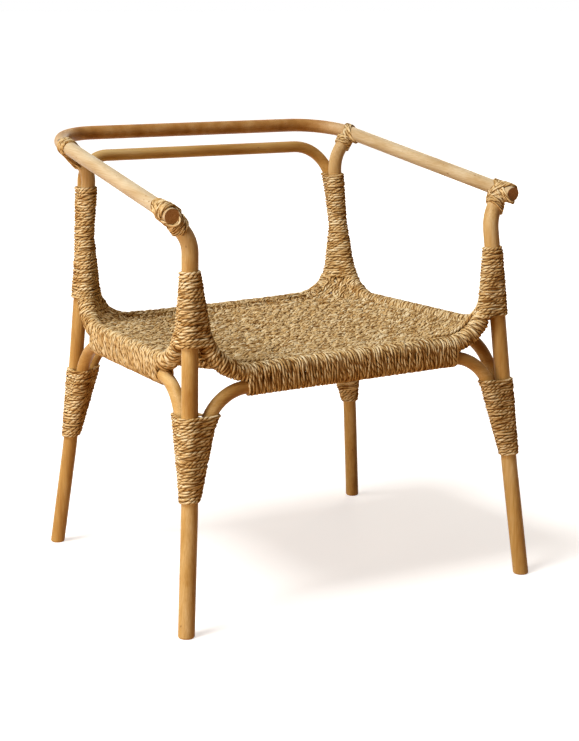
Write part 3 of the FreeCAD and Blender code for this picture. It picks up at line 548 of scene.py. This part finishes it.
def binding_path(end, side, kinds, bottom, top):
    """Rising turns round a post and the pole ends that it is bound to."""
    climb = top - bottom - 2 * CORD_SEAT
    turns = round(climb / WIND_PITCH)
    turned = np.linspace(0.0, turns, turns * TURN_STEPS + 1)
    scatter = chance.normal(0.0, WIND_UNEVEN, turns - 3)
    uneven = np.interp(turned, np.arange(2, turns - 1), scatter, left=0.0, right=0.0)
    heights = bottom + CORD_SEAT + climb * turned / turns + uneven
    outward = np.stack([np.cos(2 * math.pi * turned), np.sin(2 * math.pi * turned), 0 * turned], axis=1)
    centres, radii = [post_axis(end, side, heights)], [np.full(len(heights), POST_RADIUS[end])]
    for (kind, its_end, its_side, way), bend in bends.items():
        if kind in kinds and its_end == end and its_side == side:
            points, upright = bend.at_heights(heights)
            past_tip = (heights - TIP[kind, end][0]) * np.sign(bend.outward[2])
            centres.append(points)
            radii.append(np.where(past_tip < FADE[kind], POLE_RADIUS[kind] / np.maximum(upright, LEAST_UPRIGHT),
                                  OUT_OF_REACH))
    reaches = np.array([(centre * outward).sum(1) + radius for centre, radius in zip(centres, radii)])
    chosen = reaches.argmax(0)
    row = np.arange(len(heights))
    tucked = TUCK * np.clip(1 - np.minimum(turned, turns - turned) / TUCK_TURN, 0, 1)
    reach = np.array(radii)[chosen, row] + CORD_SEAT - tucked
    return np.array(centres)[chosen, row] + outward * reach[:, None]


for end in ENDS:
    for side_name, side in SIDES.items():
        corner = f"{end}_{side_name}"
        cord_piece(f"seagrass_leg_binding_{corner}", [binding_path(end, side, ("brace",), *LEG_WRAP[end])],
                   [f"leg_binding_{corner}"])
        held = [f"post_binding_{corner}"] + ([f"back_rail_binding_{side_name}"] if end == "rear" else [])
        cord_piece(f"seagrass_post_binding_{corner}",
                   [binding_path(end, side, ("rail", "back_rail"), *POST_WRAP[end])], held)
print(len(triangles), "bindings,", sum(triangles.values()), "triangles")

# %% [markdown]
# ## Turns round the bends of the seat rails
# Between the woven cover of a rail and the binding of its post, the cord goes round the bare bend of the rail.
# Rings would be simpler, but a wound cord moves along with each turn. So it is a coil, which needs two
# directions square to the pole's centre line and a place along it that grows with each turn. The last turns
# run on under the binding, so they lie closer to the pole there.

# %% Rail turns
ROLL_CORD = {"diameter": 6.3, "twist": -42.0, "wander": 3.4}
COIL_STEPS = 30
ROLL_PITCH = 6.0
ROLL_REACH = POLE_RADIUS["rail"] + CORD_SEAT
ROLL_SINK = 2.4
ROLL_HIDDEN = 9.0
COVER_PAST_BEND = 16.0
UNDER_COVER = 5.0
UNDER_BINDING = 14.0
BINDING_LAP = 3.0
LANE_END = 40.0
LANE_STEP = 0.5
SMALL_STEP = 0.1


def coil_path(line, places, turned, reaches):
    """Turns of cord round a line at places along it, at a reach from it."""
    centres = line(places)
    along = unit(line(places + SMALL_STEP) - line(places - SMALL_STEP))
    upward = unit(vector(0, 0, 1) - along * along[:, 2:])
    angles = 2 * math.pi * turned[:, None]
    around = upward * np.cos(angles) + np.cross(along, upward) * np.sin(angles)
    return centres + around * np.reshape(reaches, (-1, 1))


for end in ENDS:
    for side_name, side in SIDES.items():
        for way in ("cross", "side"):
            bend = bends["rail", end, side, way]
            start = COVER_PAST_BEND - UNDER_COVER
            lane = np.arange(start, bend.turn * bend.radius + LANE_END, LANE_STEP)
            crowns = bend.points(lane)[:, 2] + ROLL_REACH * np.cos(np.minimum(lane / bend.radius, bend.turn))
            covered = lane[np.argmax(crowns > POST_WRAP[end][0] + BINDING_LAP)]
            turns = round((covered + UNDER_BINDING - start) / ROLL_PITCH)
            turned = np.linspace(0.0, turns, turns * COIL_STEPS + 1)
            places = start + (covered + UNDER_BINDING - start) * turned / turns
            reaches = ROLL_REACH - ROLL_SINK * np.clip((places - covered) / ROLL_HIDDEN, 0, 1)
            name = f"rail_turns_{end}_{side_name}_{way}"
            coil = coil_path(bend.points, places, turned, reaches)
            cord_piece("seagrass_" + name, [coil], [name], **ROLL_CORD)
print(len(triangles), "pieces of cord so far")

# %% [markdown]
# ## Lashings of the arms
# Where a post meets the hoop, loops of cord go over the hoop on one side of the post and under it on the other.
# Side by side they make a band. At the front a second band crosses the first, close to the sawn end of the arm.
# Below them a collar of slanting turns binds the post.
# Loops placed by hand would cut into the poles or float above them. So each loop is the tight outline of the
# two poles in a slanted plane: rays from the middle find how far the poles reach, and the loop is the smallest
# convex shape round those points.

# %% Measures of lashings and collars
HOOP_RADIUS = 13.0
ARM_END = (335.2, -265.5, 687.0)
HOOP_CORNER = (303.3, 324.2, 767.3)
JOINT_Y = {"front": -237.5, "rear": 238.2}
# From the joint on the hoop's centre line inwards and down to the top of the post.
POST_TOP = (10.0, 0.0, 6.0)
LASHING_CORD = {"diameter": 4.9, "waist": 0.8, "twist": -40.0}
LASHING_SEAT = 1.6
BAND_PITCH = 4.2
# Slant of each band in degrees, its lift off the poles, and how far past the joint its loops cross the hoop.
FRONT_BANDS = [(45.0, 0.0, np.arange(4.0, 26.0, BAND_PITCH)),
               (-45.0, 1.6, np.arange(-19.0, -2.0, BAND_PITCH))]
BANDS = {"front_left": FRONT_BANDS, "front_right": FRONT_BANDS,
         "rear_left": [(-15.0, 0.0, np.arange(-34.0, -8.0, BAND_PITCH))],
         "rear_right": [(40.0, 0.0, np.arange(1.0, 20.0, BAND_PITCH))]}
COLLAR_TURNS = 4
COLLAR_START = {"front": 11.0, "rear": 7.0}
COLLAR_PITCH = 4.0
COLLAR_SLANT = {"front": 6.5, "rear": 2.0}
print("bands in each lashing:", {corner: len(bands) for corner, bands in BANDS.items()})

# %% One loop
RAY_REACHES = np.arange(0.0, 50.0, 0.5)
RAY_ANGLES = np.arange(0.0, 2 * math.pi, math.radians(6))
FAR = 99.0


def convex_outline(points):
    """Smallest convex shape round points of a plane, as a closed path."""
    halves = []
    for ordered in (sorted(map(tuple, points)), sorted(map(tuple, points), reverse=True)):
        half = []
        for x, y in ordered:
            while len(half) > 1 and ((half[-1][0] - half[-2][0]) * (y - half[-2][1])
                                     <= (half[-1][1] - half[-2][1]) * (x - half[-2][0])):
                half.pop()
            half.append((x, y))
        halves += half[:-1]
    return np.array(halves + halves[:1])


def slanted_loop(joint, hoop_way, top, post_way, post_radius, slant, seat, crossing):
    """Tight loop round hoop and post in a slanted plane that crosses the hoop's top at a place along it."""
    slant = math.radians(slant)
    normal = unit(hoop_way * math.cos(slant) + post_way * math.sin(slant))
    upward = unit(vector(0, 0, 1) - hoop_way * hoop_way[2])
    middle = joint + hoop_way * (crossing + (HOOP_RADIUS + seat) * (normal @ upward) / (normal @ hoop_way))
    first = unit(np.cross(normal, post_way))
    second = np.cross(normal, first)
    outline = []
    for angle in RAY_ANGLES:
        ray = first * math.cos(angle) + second * math.sin(angle)
        spots = middle + np.outer(RAY_REACHES, ray) - joint
        from_hoop = np.linalg.norm(spots - np.outer(spots @ hoop_way, hoop_way), axis=1) - HOOP_RADIUS
        below = spots + joint - top
        from_post = np.linalg.norm(below - np.outer(below @ post_way, post_way), axis=1) - post_radius
        from_post[below @ post_way < 0] = FAR
        reach = RAY_REACHES[np.minimum(from_hoop, from_post) < seat].max()
        outline.append((reach * math.cos(angle), reach * math.sin(angle)))
    return np.array([middle + first * x + second * y for x, y in convex_outline(outline)])


print(len(RAY_ANGLES), "rays for each loop")

# %% Arm lashings and post collars
for end in ENDS:
    for side_name, side in SIDES.items():
        corner = f"{end}_{side_name}"
        mirror = vector(side, 1, 1)
        arm_end, hoop_corner = vector(*ARM_END) * mirror, vector(*HOOP_CORNER) * mirror
        hoop_way = unit(hoop_corner - arm_end)
        joint = arm_end + hoop_way * (JOINT_Y[end] - arm_end[1]) / hoop_way[1]
        top = joint - vector(*POST_TOP) * mirror
        post_way = unit(vector(*SHOULDER[end]) * mirror - top)
        poles = (joint, hoop_way, top, post_way, POST_RADIUS[end])
        loops = [slanted_loop(*poles, slant, LASHING_SEAT + lift, crossing)
                 for slant, lift, crossings in BANDS[corner] for crossing in crossings]
        cord_piece(f"seagrass_arm_lashing_{corner}", loops, [f"arm_lashing_{corner}"], wander=1.0,
                   **LASHING_CORD)
        turned = np.linspace(0.0, COLLAR_TURNS, COLLAR_TURNS * COIL_STEPS + 1)
        lowest = unit(np.cross(np.cross(post_way, vector(side, -1, 0)), post_way))
        angles = 2 * math.pi * turned
        around = np.outer(np.cos(angles), lowest) + np.outer(np.sin(angles), np.cross(post_way, lowest))
        depths = COLLAR_START[end] + COLLAR_PITCH * turned + COLLAR_SLANT[end] * np.cos(angles)
        collar = top + np.outer(depths, post_way) + around * (POST_RADIUS[end] + LASHING_SEAT)
        cord_piece(f"seagrass_post_collar_{corner}", [collar], [f"post_collar_{corner}"], wander=1.4,
                   **LASHING_CORD)
print(len(triangles), "pieces of cord so far")

# %% [markdown]
# ## Woven covers of the rails
# The strands of the seat run over each rail and under the brace below it, side by side. A sleeve with a striped
# material would have a smooth lower edge. So each cover is one cord wound round a rounded slot: two half
# circles joined by straight sides. At the rear the seat's own strands lie on the cover, so it is thinner.

# %% Covers
COVER_CORD = {"step": 3.2, "diameter": 5.4, "wander": 7.0, "wander_length": 45.0}
COVER_PITCH = 5.0
COVER_STEPS = 26
COVER_REACH = {"front": 14.4, "rear": 12.4, "left": 14.4, "right": 14.4}
# Twist, and how freely a strand wanders along X, Y and Z. It does so along its rail.
ACROSS = {"twist": -50.0, "ways": (1.0, 0.1, 0.1)}
LENGTHWISE = {"twist": -30.0, "ways": (0.1, 1.0, 0.1)}


def slot_point(share, reach):
    """Place across and down on the outline of a rounded slot, at a share of its girth."""
    half_round = math.pi * reach
    walked = share * (2 * half_round + 2 * STACK)
    if walked < half_round:
        return -math.cos(walked / reach) * reach, -math.sin(walked / reach) * reach
    walked -= half_round
    if walked < STACK:
        return reach, walked
    walked -= STACK
    if walked < half_round:
        return math.cos(walked / reach) * reach, STACK + math.sin(walked / reach) * reach
    return -reach, STACK - (walked - half_round)


def cover_path(place):
    """Cord wound round a rail and its brace, from one bend of the rail to the other."""
    if place in ENDS:
        first, last = (bends["rail", place, side, "cross"].start for side in SIDES.values())
    else:
        first, last = (bends["rail", end, SIDES[place], "side"].start for end in ENDS)
    along = unit(last - first)
    down = unit(vector(0, 0, -1) + along * along[2])
    sideways = np.cross(down, along)
    past = COVER_PAST_BEND - CORD_SEAT
    length = np.linalg.norm(last - first) + 2 * past
    turns = round(length / COVER_PITCH)
    ring = np.array([slot_point(step / COVER_STEPS, COVER_REACH[place]) for step in range(COVER_STEPS)])
    turned = np.arange(turns * COVER_STEPS) / COVER_STEPS
    across = np.tile(ring, (turns, 1))
    return (first - along * past + np.outer(length * turned / turns, along)
            + np.outer(across[:, 0], sideways) + np.outer(across[:, 1], down))


for place in COVER_REACH:
    cord_piece(f"seagrass_cover_{place}", [cover_path(place)], [f"woven_cover_{place}"], **COVER_CORD,
               **(ACROSS if place in ENDS else LENGTHWISE))
print(len(triangles), "pieces of cord so far")

# %% [markdown]
# ## Woven seat
# The panel hangs a little towards its middle, and its sides follow the side rails. Near each corner it climbs
# with the bends of the two rails up to the binding of the post. One bumpy panel would look flat at its edges,
# so every strand is a cord of its own. First comes the surface that the strands follow.

# %% The seat's surface
SEAT_INSET = 14.0
SEAT_RISE = 5.0
SEAT_SAG = 10.0
SEAT_EDGE_SAG = 3.0
FRONT_RISE = 7.0
FRONT_RISE_REACH = 45.0
CLIMB = 46.0
CORNER_CUT = 0.8
PAST_BEND = 60.0
BEND_SAMPLES = 200
TINY = 1e-6
REAR_WRAP_REACH = 15.4
rail_starts = {key[1:]: bend.start for key, bend in bends.items() if key[0] == "rail"}
seat_front = np.mean([rail_starts["front", side, "cross"][1] for side in SIDES.values()]) + SEAT_INSET
rear_rail_y = np.mean([rail_starts["rear", side, "cross"][1] for side in SIDES.values()])
seat_rear = rear_rail_y - SEAT_INSET


def side_edge(side, y):
    """Place and height of a side rail at a depth, without its bends."""
    front, rear = (rail_starts[end, side, "side"] for end in ENDS)
    return front + (rear - front) * (y - front[1]) / (rear[1] - front[1])


def corner_climb(end, side, away_x, away_y):
    """How far the seat rises near a corner, after the two rails that bend up there."""
    away = np.hypot(away_x, away_y)
    away = away + CORNER_CUT * away_x * away_y / np.maximum(away, TINY)
    heights = []
    for way, column in (("cross", 0), ("side", 1)):
        bend = bends["rail", end, side, way]
        line = bend.points(np.linspace(0, bend.turn * bend.radius + PAST_BEND, BEND_SAMPLES))
        corner = side_edge(side, line[-1][1])[0] - side * SEAT_INSET if way == "cross" else \
            rail_starts[end, side, "cross"][1] + INTO_SEAT[end] * SEAT_INSET
        distance = np.abs(line[:, column] - corner)
        heights.append(np.interp(away, distance[::-1], (line[:, 2] - line[0][2])[::-1], right=0.0))
    turned = away_y ** 2 / np.maximum(away_x ** 2 + away_y ** 2, TINY)
    return np.minimum(heights[0] * (1 - turned) + heights[1] * turned, CLIMB)


def seat_line(xs, y):
    """Points of the seat's middle surface on a line from left to right."""
    left, right = (side_edge(side, y) - vector(side * SEAT_INSET, 0, 0) for side in SIDES.values())
    depth = np.clip((y - seat_front) / (seat_rear - seat_front), 0, 1)
    bow = 4 * depth * (1 - depth)
    share = np.clip((xs - left[0]) / (right[0] - left[0]), 0, 1)
    level = RAIL_HEIGHT["front"] * (1 - depth) + RAIL_HEIGHT["rear"] * depth + HALF_TILT * (2 * share - 1)
    level += (SIDE_RISE["front"] * (1 - depth) + SIDE_RISE["rear"] * depth) * (2 * share - 1) ** 4
    sag = (SEAT_EDGE_SAG + (SEAT_SAG - SEAT_EDGE_SAG) * bow) * 4 * share * (1 - share)
    heights = level + SEAT_RISE - sag + FRONT_RISE * math.exp(-((y - seat_front) / FRONT_RISE_REACH) ** 2)
    for end, edge in (("front", seat_front), ("rear", seat_rear)):
        inwards = np.full(len(xs), max((y - edge) * INTO_SEAT[end], 0.0))
        for side, corner in zip(SIDES.values(), (left, right)):
            heights += corner_climb(end, side, np.abs(xs - corner[0]), inwards)
    if y > seat_rear:
        heights += math.sqrt(max(REAR_WRAP_REACH ** 2 - (y - rear_rail_y) ** 2, 0.0)) - SEAT_RISE
    return np.stack([xs, np.full(len(xs), y), heights], axis=1)


print("seat from", round(seat_front), "to", round(seat_rear), "mm")

# %% [markdown]
# ## Strands of the seat
# In the real seat, cords run from side to side over and under cords from front to back, two together. Where a
# pair dips under, a short dark dash shows between the long floats. Cords laid over every dip would hardly show,
# so here the pairs only dip. The dashes are uneven, so their places and depths are drawn from a fixed seed.
# A thicker cord closes the weave behind the front rail. A layer of cords from front to back lies under the
# weave and closes its gaps.

# %% Strands from side to side
WEFT_CORD = {"diameter": 5.8, "waist": 0.85, "twist": -45.0, "step": 2.8, "wander": 1.0, "wander_length": 26.0}
WEFT_PITCH = 5.0
WEFT_GROUP = 2
WEFT_SAMPLE = 2.0
WEFT_PAST_RAIL = 9.0
WEFT_SCATTER = 0.5
DIP_SPACING = 17.0
DIP_SCATTER = 0.3 * DIP_SPACING
DIP_LENGTH = 3.2
DIP_DEPTHS = (2.5, 6.0)
DIP_SHARE_ON_RAIL = 0.35
PAIR_SCATTER = 0.8
EDGE_ROPE_BACK = 6.0
BEHIND_EDGE_ROPE = 4.0


def span(y):
    """Left and right ends of a strand at a depth."""
    return [side_edge(side, y)[0] - side * SEAT_INSET for side in SIDES.values()]


wefts = []
first_row = seat_front + EDGE_ROPE_BACK + BEHIND_EDGE_ROPE
for row, y in enumerate(np.arange(first_row, rear_rail_y + WEFT_PAST_RAIL, WEFT_PITCH)):
    left, right = span(y)
    if row % WEFT_GROUP == 0:
        first = left + DIP_SPACING * (0.25 + 0.5 * (row // WEFT_GROUP % 2))
        dips = np.arange(first, right, DIP_SPACING)
        dips += chance.normal(0.0, DIP_SCATTER, len(dips))
        depths = chance.uniform(*DIP_DEPTHS, len(dips)) * (1.0 if y < seat_rear else DIP_SHARE_ON_RAIL)
    xs = np.linspace(left, right, round((right - left) / WEFT_SAMPLE))
    path = seat_line(xs, y)
    beside = xs[:, None] - dips - chance.normal(0.0, PAIR_SCATTER)
    path[:, 2] -= (depths * np.exp(-(beside / DIP_LENGTH) ** 2)).max(1)
    path[:, 1] += chance.normal(0.0, WEFT_SCATTER)
    wefts.append(path)
for part, rows in zip(("front", "middle", "rear"), np.array_split(np.arange(len(wefts)), 3)):
    cord_piece(f"seagrass_seat_{part}", [wefts[row] for row in rows], ["seat_weave"], **WEFT_CORD)
print(len(wefts), "strands from side to side")

# %% Layer under the weave, and the rope at its front
UNDER_CORD = {"diameter": 9.0, "waist": 0.95, "step": 8.0, "wander": 0.6}
UNDER_HALF_WIDTH = 286.0
UNDER_SPACING = 5.4
UNDER_DROP = 8.5
UNDER_SAMPLE = 9.0
EDGE_CORD = {"diameter": 7.0, "twist": -17.0, "slip": 2.0}
EDGE_LIFT = 1.5
EDGE_SAMPLES = 160
under = []
for x in np.arange(-UNDER_HALF_WIDTH, UNDER_HALF_WIDTH + 1.0, UNDER_SPACING):
    path = []
    for y in np.arange(seat_front, seat_rear + UNDER_SAMPLE, UNDER_SAMPLE):
        left, right = span(y)
        if left < x < right:
            path.append(seat_line(vector(x), y)[0] - vector(0, 0, UNDER_DROP))
    if len(path) > 3:
        under.append(np.array(path))
cord_piece("seagrass_seat_under_layer", under, ["seat_weave"], **UNDER_CORD)
edge_left, edge_right = span(seat_front + EDGE_ROPE_BACK)
edge = seat_line(np.linspace(edge_left, edge_right, EDGE_SAMPLES), seat_front + EDGE_ROPE_BACK)
cord_piece("seagrass_seat_front_edge", [edge + vector(0, 0, EDGE_LIFT)], ["seat_weave"], **EDGE_CORD)
print(len(triangles), "pieces of cord so far")

# %% [markdown]
# ## Studio
# The photo has a white ground and soft, warm light from the left. The floor is pale and keeps a faint shadow.
# More light would turn the ground white too, but it would wash out the chair. So the ground is white only to
# the eye and to what reflects it. For all other light the floor is a warm brown, after the photo's warm
# shadows.
# A large lamp high on the left gives the main light. A low one reaches the legs under the seat, and a weak one
# behind on the right lets the back and the right side be seen.

# %% Floor
FLOOR_HALF = 40.0
PAPER_SEEN = "#F4F3F0"
PAPER_BOUNCE = "#B98A52"
# Distance from the middle in metres and the glow at the ends of a slow rise to white.
WASH_FROM, WASH_TO = (0.3, 0.6), (1.7, 0.95)
floor_mesh = bpy.data.meshes.new("studio_floor")
corners = [(x * FLOOR_HALF, y * FLOOR_HALF, 0) for x, y in ((-1, -1), (1, -1), (1, 1), (-1, 1))]
floor_mesh.from_pydata(corners, [], [(0, 1, 2, 3)])
floor = add("studio_floor", floor_mesh)


def seen_directly(tree):
    """One where the eye, a glossy surface or a clear one looks at the ground, so that all see it white."""
    rays = node(tree, "ShaderNodeLightPath").outputs
    glossy = node(tree, "ShaderNodeMath", {0: rays["Is Camera Ray"], 1: rays["Is Glossy Ray"]},
                  operation="MAXIMUM")
    return node(tree, "ShaderNodeMath", {0: glossy, 1: rays["Is Transmission Ray"]}, operation="MAXIMUM")


matt_white, tree, shader = new_material("matt_white_paper")
seen = seen_directly(tree)
paper = node(tree, "ShaderNodeMix", {0: seen, 6: linear(PAPER_BOUNCE), 7: linear(PAPER_SEEN)},
             data_type="RGBA")
place = node(tree, "ShaderNodeTexCoord").outputs["Object"]
away = node(tree, "ShaderNodeVectorMath", {0: place}, operation="LENGTH")
wash = node(tree, "ShaderNodeMapRange", {
    "Value": away, "From Min": WASH_FROM[0], "To Min": WASH_FROM[1], "From Max": WASH_TO[0],
    "To Max": WASH_TO[1]}, interpolation_type="SMOOTHSTEP")
glow = node(tree, "ShaderNodeMath", {0: seen, 1: wash}, operation="MULTIPLY")
feed(shader, {"Base Color": paper, "Roughness": 0.9, "Emission Strength": glow,
              "Emission Color": (1, 1, 1, 1)})
floor_mesh.materials.append(matt_white)
print("floor of", 2 * FLOOR_HALF, "m")

# %% World and lamps
FILL_TINT = "#FFC78E"
FILL_STRENGTH = 0.1
LAMP_AIM = Vector((0, 0, 0.45))
world = bpy.data.worlds.new("studio")
bpy.context.scene.world = world
world.use_nodes = True
tree = world.node_tree
tree.nodes.clear()
seen = seen_directly(tree)
tint = node(tree, "ShaderNodeMix", {0: seen, 6: linear(FILL_TINT), 7: (1, 1, 1, 1)}, data_type="RGBA")
strength = node(tree, "ShaderNodeMapRange", {"Value": seen, "To Min": FILL_STRENGTH, "To Max": 1.0})
ground = node(tree, "ShaderNodeBackground", {"Color": tint, "Strength": strength})
node(tree, "ShaderNodeOutputWorld", {"Surface": ground})


def soft_light(name, place, power, size, colour):
    """Square soft light that faces the chair."""
    lamp = bpy.data.lights.new(name, "AREA")
    lamp.energy = power
    lamp.size = size
    lamp.color = linear(colour)[:3]
    holder = add(name, lamp)
    holder.location = place
    holder.rotation_euler = (LAMP_AIM - Vector(place)).to_track_quat("-Z", "Y").to_euler()


soft_light("window_from_left", (-3.9, -0.3, 6.6), 475.0, 3.0, "#FFFFFF")
soft_light("low_light_from_left", (-4.6, -1.0, 0.9), 98.0, 1.6, "#FFEED8")
soft_light("fill_from_behind", (4.2, 4.6, 2.4), 80.0, 3.0, "#FFF0DC")
bpy.context.scene.view_settings.view_transform = "Standard"
print("world and three lamps")

# %% [markdown]
# ## Camera
# The viewing angle, distance and lens were fitted to the frame's outline in the photo. A camera set by eye
# would come close, but every pole would then be a little off.

# %% Camera at the photo's angle
PHOTO_SIZE = (579, 741)
FOCAL_PIXELS = 1779.69
PRINCIPAL = (286.95, 356.34)
CAMERA_ANGLES = (-29.83, 12.19, 0.57)
CAMERA_AIM = (0, -0.0517, 0.38565)
CAMERA_DISTANCE = 3.2328
azimuth, elevation, roll = (math.radians(value) for value in CAMERA_ANGLES)
back = Vector((math.sin(azimuth) * math.cos(elevation), -math.cos(azimuth) * math.cos(elevation),
               math.sin(elevation)))
level = Vector((math.cos(azimuth), math.sin(azimuth), 0))
above = level.cross(-back)
right = level * math.cos(roll) + above * math.sin(roll)
upright = above * math.cos(roll) - level * math.sin(roll)
spot = Vector(CAMERA_AIM) + back * CAMERA_DISTANCE
camera_data = bpy.data.cameras.new("photo_camera")
camera_data.sensor_width = 36.0
camera_data.lens = FOCAL_PIXELS * camera_data.sensor_width / max(PHOTO_SIZE)
camera_data.shift_x = (PHOTO_SIZE[0] / 2 - PRINCIPAL[0]) / max(PHOTO_SIZE)
camera_data.shift_y = (PRINCIPAL[1] - PHOTO_SIZE[1] / 2) / max(PHOTO_SIZE)
camera = add("photo_camera", camera_data)
camera.matrix_world = Matrix((
    (right.x, upright.x, back.x, spot.x),
    (right.y, upright.y, back.y, spot.y),
    (right.z, upright.z, back.z, spot.z),
    (0, 0, 0, 1)))
bpy.context.scene.camera = camera
print("lens", round(camera_data.lens, 2), "mm")

# %% [markdown]
# ## Size of the cord
# The end prints how many triangles the cord has in all, and the most in one piece.

# %% Triangles of the cord, and the end
print("triangles of cord:", sum(triangles.values()), "and most in a piece:", max(triangles.values()))
